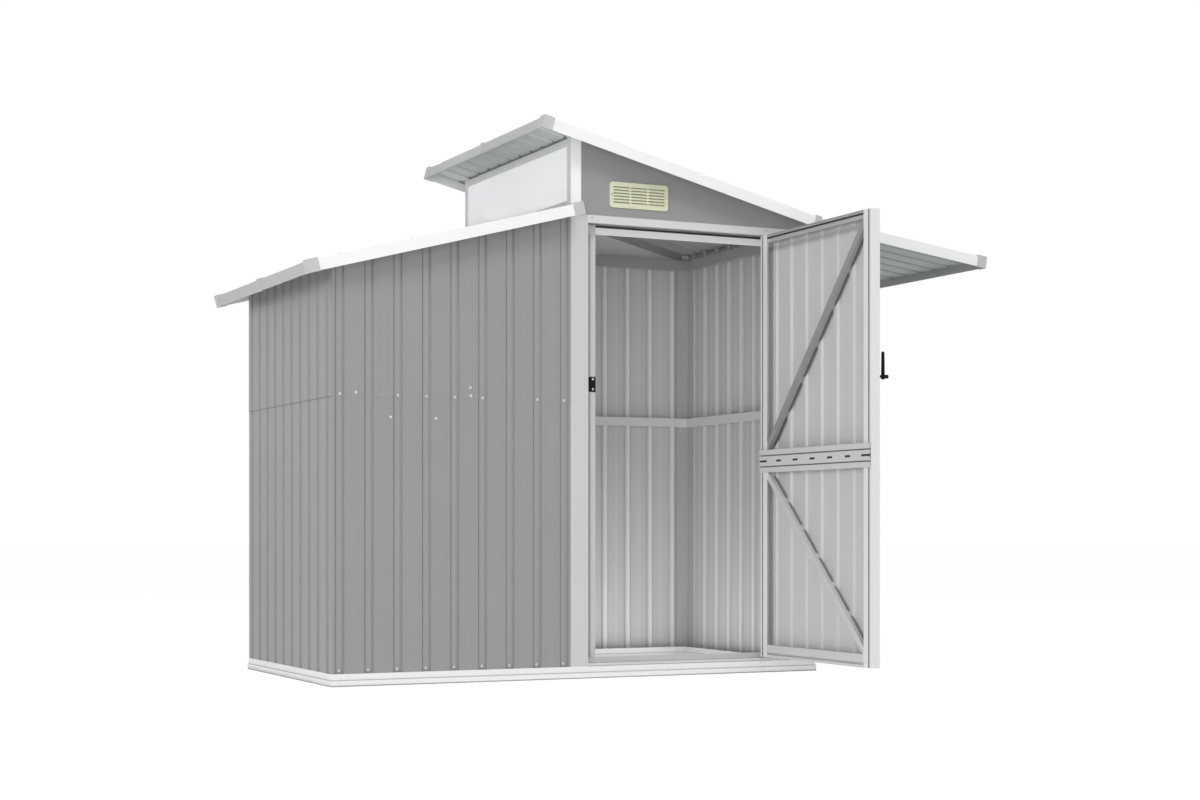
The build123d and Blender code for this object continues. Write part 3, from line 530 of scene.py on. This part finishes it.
short_of = make_short_of()
header_coat = coated("header_coat", (0.71, 0.715, 0.725), 0.42, tone=0.03)
# Painted light: the stop strip below Z 1.7045 is paler to make up for the header's shade on it, and a
# painted shadow darkens the gap between them.
tint(header_coat, (0.92, 0.925, 0.93), short_of, Z=1.0, Line=1.7045)
paint_shade_line(header_coat, level=1.7090, half_width=0.0070, depth=0.65)
dress(header_coat, "door_header")
dress(column_coat, "door_jambs")
sill_coat = coated("sill_coat", (0.66, 0.665, 0.675), 0.42, tone=0.03)
# Painted shade: a dark line along the sill's fold.
paint_shade_line(sill_coat, level=0.0450, half_width=0.0045, depth=0.70)
dress(sill_coat, "door_sill")
moulded_black = coated(
    "moulded_black", (0.006, 0.006, 0.007), 0.5, tone=0.1, pebbles=1400.0, peel=0.0001,
)
moulded_black.node_tree.nodes["Principled BSDF"].inputs["Specular IOR Level"].default_value = 0.15
dress(moulded_black, "strike_plate")
strike_screws = wall_corner + np.array([(1.0515, 0.0525, 1.0910), (1.0515, 0.0525, 1.1290)])
jamb_screws = wall_corner + np.array([(1.0500, 0.0545, 1.0460), (1.0500, 0.0545, 0.9690)])
strike_head = 0.0044
closed_skins(
    "strike_screws",
    screw_heads(np.concatenate([strike_screws, jamb_screws]), (0.0, -1.0, 0.0), strike_head),
    zinc_white, "shed",
)
zinc_steel = coated("zinc_steel", (0.42, 0.42, 0.42), 0.34, tone=0.2, pebbles=700.0, dust=0.0)
zinc_steel.node_tree.nodes["Principled BSDF"].inputs["Metallic"].default_value = 0.75
header_screws = wall_corner + np.array([(1.0252, lower_pan, 1.7330), (1.7838, lower_pan, 1.7330)])
header_head = 0.0034
closed_skins(
    "header_screws", screw_heads(header_screws, (0.0, -1.0, 0.0), header_head),
    zinc_steel, "shed",
)

# Black coat for strips that stand in for shade: in the gap under the header, in the leaf's grooves and
# behind its bar.
shade_strip_black = coated("shade_strip_black", (0.035, 0.036, 0.037), 0.7, tone=0.15, pebbles=800.0, dust=0.05)
header_strip_section = np.array([
    (0.0, 0.0, 0.0), (0.0, 0.0110, 0.0), (0.0, 0.0110, 0.0078),
    (0.0, 0.0, 0.0078), (0.0, -0.0008, 0.0039),
])
header_strip_length = 0.7850
header_strip_start = wall_corner + np.array([(1.0120, 0.0580, 1.7049)])
header_strip_end = header_strip_start + (header_strip_length, 0.0, 0.0)
closed_skins(
    "header_shade_strip", bar_skins(header_strip_start, header_strip_end, header_strip_section),
    shade_strip_black, "shed",
)

# A grey strip on the latch jamb's stop stands in for the shade beside the column.
jamb_strip_section = np.array([
    (0.0, -0.0046, 0.0), (0.0110, -0.0046, 0.0), (0.0110, 0.0, 0.0), (0.0, 0.0, 0.0),
])
jamb_strip_feet = wall_corner + np.array([(1.0290, 0.0545, 0.0760), (1.0290, 0.0545, 1.1390)])
jamb_strip_tops = wall_corner + np.array([(1.0290, 0.0545, 1.0790), (1.0290, 0.0545, 1.6760)])
grey_shade_strip = coated("grey_shade_strip", (0.34, 0.342, 0.345), 0.7, tone=0.15, pebbles=800.0, dust=0.05)
closed_skins(
    "jamb_shade_strips", bar_skins(jamb_strip_feet, jamb_strip_tops, jamb_strip_section),
    grey_shade_strip, "shed",
)


# Clerestory. Folded white posts, their left faces painted light grey as shade, and
# light grey rails hold a strip of opal plastic sheet in the step between the two roofs,
# which lets daylight in.
def make_turned():
    """Faces turned one way: one where the normal's part along the given axis passes a third."""
    tree, given, result = new_group("turned", {"X": 0.0, "Y": 0.0, "Z": 0.0}, ("Mask",))
    normal = wire(tree, "ShaderNodeTexCoord").outputs["Normal"]
    axis = wire(tree, "ShaderNodeCombineXYZ", {key: given.outputs[key] for key in ("X", "Y", "Z")})
    part = wire(
        tree, "ShaderNodeVectorMath", {0: normal, 1: axis.outputs["Vector"]}, operation="DOT_PRODUCT",
    )
    past = wire(tree, "ShaderNodeMath", {0: part.outputs["Value"], 1: 0.33}, operation="GREATER_THAN")
    tree.links.new(past.outputs[0], result.inputs["Mask"])
    return tree


turned = make_turned()
post_coat = coated("post_coat", (0.95, 0.96, 0.96), 0.42, tone=0.03)
# Painted shade: faces turned to the left are light grey.
tint(post_coat, (0.62, 0.63, 0.63), turned, X=-1.0)
dress(post_coat, "clerestory_posts")
dress(column_coat, "clerestory_rails")
opal_sheet = coated(
    "opal_sheet", (0.96, 0.98, 0.985), 0.55, tone=0.02, pebbles=240.0, peel=0.00001, dust=0.0,
)
dress(opal_sheet, "clerestory_window")

# Roof sheets and trims. Ribbed steel sheets lie on rafters, the low one over the
# store bay and the high one over the doorway, with a canopy carried on past the wall.
# White folded trims close the edges, those at the ends coated grey as painted shade,
# and grey moulded caps cover their corners.
roof_grey = (0.310, 0.315, 0.312)
roof_coat = coated("roof_coat", roof_grey, 0.45, tone=0.06, dust=0.0)
tint(roof_coat, (0.45, 0.455, 0.46), inner_face, Z=1.0)
dress(roof_coat, "low_roof_sheet")
high_coat = coated("high_coat", roof_grey, 0.45, tone=0.06, dust=0.0)
high_tree = high_coat.node_tree
eave_line = -0.068
# The underside is painted: darker over the room as shade, and a pale green-grey past the eave line as sky
# light and reflection on the overhang.
shaded_room_grey = (0.38, 0.385, 0.39)
lit_eave_grey = (0.68, 0.74, 0.735)
overhang = use_group(high_tree, short_of, X=1.0, Line=eave_line)
bottom = use_group(high_tree, inner_face, Z=1.0)
underside = wire(high_tree, "ShaderNodeMix", {
    "Factor": overhang.outputs["Mask"], "A": (*shaded_room_grey, 1.0), "B": (*lit_eave_grey, 1.0),
}, data_type="RGBA")
two_sided = wire(high_tree, "ShaderNodeMix", {
    "Factor": bottom.outputs["Mask"], "A": (*roof_grey, 1.0), "B": underside.outputs["Result"],
}, data_type="RGBA")
high_tree.links.new(two_sided.outputs["Result"], high_tree.nodes["coat"].inputs["A"])
dress(high_coat, "high_roof_sheet")
canopy_coat = coated("canopy_coat", roof_grey, 0.45, tone=0.06, dust=0.0)
tint(canopy_coat, (0.33, 0.355, 0.355), inner_face, Z=1.0)
dress(canopy_coat, "canopy_sheet")
trim_coat = coated("trim_coat", (0.93, 0.94, 0.94), 0.42, tone=0.03, dust=0.0)
dress(trim_coat, "low_side_trims", "high_side_trims")
# Painted shade: the end trims get a grey copy of the white trim coat for the shade on their faces.
end_coat = coated("end_coat", (0.49, 0.503, 0.508), 0.42, tone=0.05, dust=0.0)
dress(end_coat, "low_end_trims", "high_end_trims")
cap_moulding = coated(
    "cap_moulding", (0.55, 0.56, 0.56), 0.5, tone=0.25, pebbles=500.0, peel=0.0002, dust=0.0,
)
cap_moulding.node_tree.nodes["Group"].inputs["Drift per metre"].default_value = 160.0
dress(cap_moulding, "roof_caps")


def on_slope(origin, pitch, runs, across, rise):
    """Points on a roof: runs along the slope by places across it, a rise off its plane; and its normal."""
    forward = np.array([math.cos(pitch), 0.0, math.sin(pitch)])
    normal = np.array([-math.sin(pitch), 0.0, math.cos(pitch)])
    run, side = np.meshgrid(np.asarray(runs), np.asarray(across), indexing="ij")
    steps = run.reshape(-1, 1) * forward + side.reshape(-1, 1) * (0.0, 1.0, 0.0)
    return np.asarray(origin) + steps + rise * normal, normal


low_slope = math.radians(14.7)
high_slope = -math.radians(14.0)
canopy_slope = -math.radians(8.0)
low_eave = (-1.1180, 0.0, 1.4950)
high_ridge = (-0.2090, 0.0, 2.0810)
canopy_start = (0.9700, 0.0, 1.7870)
crests = -0.4770 + side_pitch * np.arange(10)
flanges = np.array([-0.5920, 0.5920])
crest_drop = -0.0015
roof_head = 0.0070
trim_head = 0.0050
for name, spot, runs, side_runs in (
    ("low", (low_eave, low_slope), (0.135, 0.58, 1.02), (0.13, 0.41, 0.69, 0.97)),
    ("high", (high_ridge, high_slope), (0.16, 0.66, 1.15), (0.15, 0.45, 0.75, 1.05)),
    ("canopy", (canopy_start, canopy_slope), (0.06, 0.76), (0.15, 0.42, 0.69)),
):
    sheet_places, upward = on_slope(*spot, runs, crests, crest_drop)
    trim_places, upward = on_slope(*spot, side_runs, flanges, 0.0)
    closed_skins(
        name + "_roof_screws", screw_heads(sheet_places, upward, roof_head),
        zinc_steel, "shed",
    )
    closed_skins(
        name + "_trim_screws", screw_heads(trim_places, upward, trim_head),
        zinc_white, "shed",
    )

# Vent. A cream moulded grille in the front gable, with a sloped blade in each slot that
# turns rain away and a screw at each end.
cream_plastic = coated("cream_plastic", (0.72, 0.725, 0.54), 0.38, tone=0.03, pebbles=300.0, dust=0.0)
dress(cream_plastic, "gable_vent")
vent_left = 1.098
vent_bottom = 1.777
slot_width = 0.0697
slot_margin = 0.014
slot_pitch = 0.0747
slot_middle = 0.0485
slot_rise = 0.0115
slot_starts = vent_left + slot_margin + slot_pitch * np.arange(3)
slot_levels = vent_bottom + slot_middle + slot_rise * (np.arange(6) - 2.5)
blade_x, blade_z = np.meshgrid(slot_starts, slot_levels, indexing="ij")
blade_starts = wall_corner + np.stack([blade_x.ravel(), np.zeros(18), blade_z.ravel()], axis=1)
blade_section = np.array([
    (0.0, 0.0100, 0.0042), (0.0, 0.0092, 0.0050), (0.0, 0.0022, -0.0019), (0.0, 0.0022, -0.0029),
])
closed_skins(
    "vent_blades", bar_skins(blade_starts, blade_starts + (slot_width, 0.0, 0.0), blade_section),
    cream_plastic, "shed",
)
vent_screws = wall_corner + np.array([(1.1062, -0.0017, 1.8265), (1.3368, -0.0017, 1.8265)])
vent_head = 0.0030
closed_skins(
    "vent_screws", screw_heads(vent_screws, (0.0, -1.0, 0.0), vent_head),
    zinc_steel, "shed",
)

# Door leaf. A ribbed sheet in a frame of folded stiles and rails, with a slotted bar at
# half height and two angle braces riveted across its back, all coated light grey but the
# upper brace, with painted shade on the rails, the bar's folds, the sheet's top and the braces.
# Black strips in the frame's inner groove and behind the bar's slots stand in for the shade there.
stile_coat = coated("stile_coat", (0.78, 0.79, 0.79), 0.38, tone=0.03)
dress(stile_coat, "door_stiles")
rim_coat = coated("rim_coat", (0.62, 0.63, 0.63), 0.38, tone=0.03)
# Painted shade along the top rail: in its groove, under its lower edge, and a broad band over it.
paint_shade_line(rim_coat, level=1.7040, half_width=0.0060, depth=0.40)
paint_shade_line(rim_coat, level=1.6640, half_width=0.0080, depth=0.35)
paint_shade_line(rim_coat, level=1.6880, half_width=0.0500, depth=0.35)
dress(rim_coat, "door_rails")
bar_coat = coated("bar_coat", (0.63, 0.64, 0.64), 0.38, tone=0.03)
bar_level = 0.8250
fold_offset = 0.0215
# Painted shade in the bar's two folds.
paint_shade_line(bar_coat, level=bar_level - fold_offset, half_width=0.0040, depth=0.85)
paint_shade_line(bar_coat, level=bar_level + fold_offset, half_width=0.0040, depth=0.85)
dress(bar_coat, "door_mid_bar")


def shade_gaps(material, line, darkness, **ribs):
    """Paints shadow onto a brace's flange where it nears the sheet: past a line, between the crests it
    stands on.
    """
    tree = material.node_tree
    coat = tree.nodes["coat"]
    flange = use_group(tree, turned, Y=-1.0)
    rim = use_group(tree, short_of, X=1.0, Line=line)
    marks = use_group(tree, rib_marks, **ribs)
    deep = wire(
        tree, "ShaderNodeMath", {0: flange.outputs["Mask"], 1: rim.outputs["Mask"]},
        operation="SUBTRACT", use_clamp=True,
    )
    gaps = wire(
        tree, "ShaderNodeMath", {0: deep.outputs[0], 1: marks.outputs["Crest"]},
        operation="SUBTRACT", use_clamp=True,
    )
    kept = wire(
        tree, "ShaderNodeMath", {0: gaps.outputs[0], 1: -darkness, 2: 1.0}, operation="MULTIPLY_ADD",
    )
    drift = coat.inputs["B"].links[0].from_socket
    both = wire(tree, "ShaderNodeMath", {0: drift, 1: kept.outputs[0]}, operation="MULTIPLY")
    tree.links.new(both.outputs[0], coat.inputs["B"])


# Painted shade and light: the upper brace is coated dark and the lower one, below the bar's level, pale;
# the flange gets a painted shadow between the crests.
brace_coat = coated("brace_coat", (0.31, 0.313, 0.316), 0.4, tone=0.05)
tint(brace_coat, (0.60, 0.605, 0.61), short_of, Z=1.0, Line=bar_level)
shade_gaps(brace_coat, line=0.7640, darkness=0.64, Y=1.0, Pitch=bay_pitch, Start=-0.9265)
dress(brace_coat, "door_braces")
panel_coat = coated("panel_coat", wall_grey, 0.4, tone=0.05)
tint(panel_coat, (0.59, 0.595, 0.605), inner_face, X=1.0)
# Painted shadow of the top rail across the top of the sheet.
paint_shade_line(panel_coat, level=1.6560, half_width=0.0200, depth=0.35)
dress(panel_coat, "door_panel")

leaf_low = np.array([0.7475, -1.3155, 0.0625])
leaf_high = np.array([0.7855, -0.5375, 1.7070])
end_gap = 0.002
# Black strips laid in the frame's groove stand in for the shade in it.
strip_middle = 0.0140
strip_floor = leaf_low[0] + 0.0108
strip_rise = 0.0096
strip_half = 0.0036
stile_strip_section = np.array([
    (-strip_rise, -strip_half, 0.0), (0.0, -strip_half, 0.0),
    (0.0, strip_half, 0.0), (-strip_rise, strip_half, 0.0),
])
stile_length = leaf_high[2] - leaf_low[2] - 2 * end_gap
stile_ends = np.array([
    (strip_floor, leaf_low[1] + strip_middle, leaf_low[2] + end_gap),
    (strip_floor, leaf_high[1] - strip_middle, leaf_low[2] + end_gap),
])
closed_skins(
    "stile_shade_strips", bar_skins(stile_ends, stile_ends + (0.0, 0.0, stile_length), stile_strip_section),
    shade_strip_black, "door",
)
rail_shade_strip = np.array([
    (-strip_rise, 0.0, strip_half), (0.0, 0.0, strip_half),
    (0.0, 0.0, -strip_half), (-strip_rise, 0.0, -strip_half),
])
stile_width = 0.049
rail_length = leaf_high[1] - leaf_low[1] - 2 * stile_width
rail_ends = np.array([(strip_floor, leaf_low[1] + stile_width, leaf_high[2] - strip_middle)])
closed_skins(
    "rail_shade_strip", bar_skins(rail_ends, rail_ends + (0.0, rail_length, 0.0), rail_shade_strip),
    shade_strip_black, "door",
)
# A black strip behind the bar stands in for the shade in its slots.
bar_shade_strip = np.array([
    (-0.0036, 0.0, 0.0080), (-0.0004, 0.0, 0.0080), (-0.0004, 0.0, -0.0080), (-0.0036, 0.0, -0.0080),
])
bar_strip_length = leaf_high[1] - leaf_low[1] - 2 * end_gap
bar_strip_start = np.array([(leaf_low[0], leaf_low[1] + end_gap, bar_level)])
closed_skins(
    "bar_shade_strip", bar_skins(bar_strip_start, bar_strip_start + (0.0, bar_strip_length, 0.0), bar_shade_strip),
    shade_strip_black, "door",
)
brace_rivets = np.array([
    (leaf_low[0], -0.5805, 0.8820), (leaf_low[0], -1.2725, 1.6630),
    (leaf_low[0], -0.5805, 0.7680), (leaf_low[0], -1.2725, 0.1225),
])
rivet_head = 0.0034
closed_skins(
    "brace_rivets", screw_heads(brace_rivets, (-1.0, 0.0, 0.0), rivet_head, rise=0.5),
    zinc_white, "door",
)

# Handle and hinges. A black moulded lever turns on a rose through the leaf, and three
# pinned hinges of zinc-plated steel carry the leaf on the column.
dress(moulded_black, "door_handle", "handle_rose")
dress(zinc_steel, "frame_hinges", "door_hinges")
hinge_levels = (np.array([0.2125, 0.88475, 1.5570])[:, None] + (-0.022, 0.022)).ravel()
hinge_lifts = hinge_levels[:, None] * (0.0, 0.0, 1.0)
hinge_head = 0.0040
leaf_plates = along_y(np.full(6, -0.5545), 0.7875, 0.0) + hinge_lifts
closed_skins(
    "leaf_hinge_screws", screw_heads(leaf_plates, (1.0, 0.0, 0.0), hinge_head, rise=0.35),
    zinc_steel, "door",
)
frame_plates = along_x(np.full(6, 0.8115), -0.5305, 0.0) + hinge_lifts
closed_skins(
    "frame_hinge_screws", screw_heads(frame_plates, (0.0, -1.0, 0.0), hinge_head, rise=0.35),
    zinc_steel, "shed",
)

# Floor, light and camera. A white floor under a white sky, soft lamps above, by the
# camera, to the left, behind, on the floor and in the room, a narrow one on the opal
# strip, and the camera low to the front left with its lens raised.
floor_mesh = bpy.data.meshes.new("floor")
reach = 60.0
sunk = -0.001
floor_mesh.from_pydata(
    [(-reach, -reach, sunk), (reach, -reach, sunk), (reach, reach, sunk), (-reach, reach, sunk)],
    [], [(0, 1, 2, 3)],
)
floor = bpy.data.objects.new("floor", floor_mesh)
bpy.context.scene.collection.objects.link(floor)
floor_paint, floor_tree, shader = new_material("floor_paint")
shader.inputs["Base Color"].default_value = (0.88, 0.88, 0.88, 1.0)
shader.inputs["Roughness"].default_value = 0.9
shader.inputs["Specular IOR Level"].default_value = 0.0
floor_rays = wire(floor_tree, "ShaderNodeLightPath")
glow = wire(floor_tree, "ShaderNodeEmission", {"Color": (1.0, 1.0, 1.0, 1.0), "Strength": 1.1})
share = wire(
    floor_tree, "ShaderNodeMath", {0: floor_rays.outputs["Is Camera Ray"], 1: 0.85}, operation="MULTIPLY",
)
blend = wire(floor_tree, "ShaderNodeMixShader", {
    0: share.outputs[0], 1: shader.outputs["BSDF"], 2: glow.outputs["Emission"],
})
floor_tree.links.new(blend.outputs["Shader"], floor_tree.nodes["Material Output"].inputs["Surface"])
floor_mesh.materials.append(floor_paint)

world = bpy.data.worlds.new("studio")
bpy.context.scene.world = world
world.use_nodes = True
sky_tree = world.node_tree
sky = sky_tree.nodes["Background"]
sky.inputs["Color"].default_value = (1.0, 1.0, 1.0, 1.0)
sky_rays = wire(sky_tree, "ShaderNodeLightPath")
direct = wire(
    sky_tree, "ShaderNodeMath",
    {0: sky_rays.outputs["Is Camera Ray"], 1: sky_rays.outputs["Is Glossy Ray"]}, operation="MAXIMUM",
)
seen = wire(
    sky_tree, "ShaderNodeMath",
    {0: direct.outputs[0], 1: sky_rays.outputs["Is Transmission Ray"]}, operation="MAXIMUM",
)
strength = wire(sky_tree, "ShaderNodeMapRange", {"Value": seen.outputs[0], "To Min": 0.40, "To Max": 1.0})
sky_tree.links.new(strength.outputs["Result"], sky.inputs["Strength"])


def soft_lamp(name, place, aim, size, power, height=None, spread=math.pi):
    """An area lamp at a place, facing a point, that the camera does not see: square unless given a
    height, and shining every way unless given a spread."""
    data = bpy.data.lights.new(name, "AREA")
    data.shape = "RECTANGLE"
    data.size = size
    data.size_y = height or size
    data.spread = spread
    data.energy = power
    lamp = bpy.data.objects.new(name, data)
    lamp.location = place
    lamp.visible_camera = False
    direction = np.subtract(aim, place)
    lamp.rotation_euler = (
        math.pi / 2 + math.atan2(direction[2], math.hypot(direction[0], direction[1])),
        0.0,
        math.atan2(-direction[0], direction[1]),
    )
    bpy.context.scene.collection.objects.link(lamp)


soft_lamp("key_lamp", (0.6, -4.8, 6.2), (0.2, 0.0, 1.0), 2.6, 115.0)
soft_lamp("camera_lamp", (-4.0, -7.6, 1.3), (0.4, 0.0, 0.9), 3.0, 128.0)
soft_lamp("left_lamp", (-8.0, -2.0, 2.4), (0.0, -0.3, 1.0), 3.0, 145.0)
soft_lamp("floor_lamp", (0.0, -1.0, 0.0005), (0.0, -1.0, 4.0), 10.0, 105.0)
soft_lamp("room_lamp", (0.45, 0.0, 0.001), (0.45, 0.0, 4.0), 0.85, 1.8)
soft_lamp("loft_lamp", (0.45, 0.0, 1.0), (0.45, 0.0, 4.0), 0.5, 0.60)
soft_lamp(
    "step_lamp", (-8.0, -1.0, 2.2), (-0.03, 0.0, 1.9), 1.2, 0.28, height=0.2, spread=math.radians(4.0),
)
soft_lamp("back_lamp", (4.5, 7.0, 4.4), (0.2, 0.0, 1.0), 3.0, 120.0)

eye = bpy.data.cameras.new("camera")
eye.lens = 60.69
eye.sensor_width = 36.0
eye.shift_y = 0.11
eye.clip_end = 200.0
camera = bpy.data.objects.new("camera", eye)
camera.location = (-3.2565, -7.3983, 0.5498)
camera.rotation_euler = (math.pi / 2, 0.0, -math.radians(25.726))
bpy.context.scene.collection.objects.link(camera)
bpy.context.scene.camera = camera
bpy.context.scene.view_settings.view_transform = "Standard"
